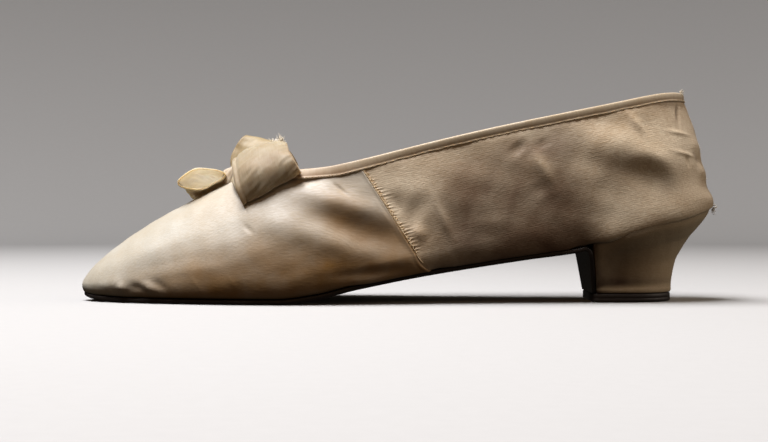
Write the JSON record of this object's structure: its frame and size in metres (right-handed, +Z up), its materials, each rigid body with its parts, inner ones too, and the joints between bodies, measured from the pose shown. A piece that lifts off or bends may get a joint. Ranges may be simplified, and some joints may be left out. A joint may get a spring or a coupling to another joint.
{
  "type": "heeled satin slipper",
  "caption": "Low-cut satin slipper with a pointed toe, bound top line, ribbon bow at the throat, thin leather sole and low curved covered heel.",
  "frame": {"origin": "on the floor under the middle of the shoe's bounding box", "axes": "toe to -X, heel to +X, -Y to the side that is seen, +Z up from the floor"},
  "size_m": [0.2392, 0.069, 0.0788],
  "materials": {
    "vamp_satin": "ivory silk satin with a soft sheen, aged warm",
    "quarter_satin": "ivory silk satin turned across its sheen, greyer and darker",
    "binding_silk": "narrow folded silk strip, stitched",
    "ribbon_satin": "yellowed silk ribbon with a fine selvedge",
    "lining_linen": "plain undyed linen, matt",
    "sole_leather": "thin dark brown sole leather, worn"
  },
  "bodies": {
    "root": {"outsole": "sole_leather", "top_piece": "sole_leather", "heel": "quarter_satin", "upper": "vamp_satin", "topline_binding": "binding_silk", "insole": "lining_linen", "bow_loop_near": "ribbon_satin", "bow_loop_far": "ribbon_satin", "bow_loop_toe": "ribbon_satin", "bow_knot": "ribbon_satin"}
  },
  "joints": []
}
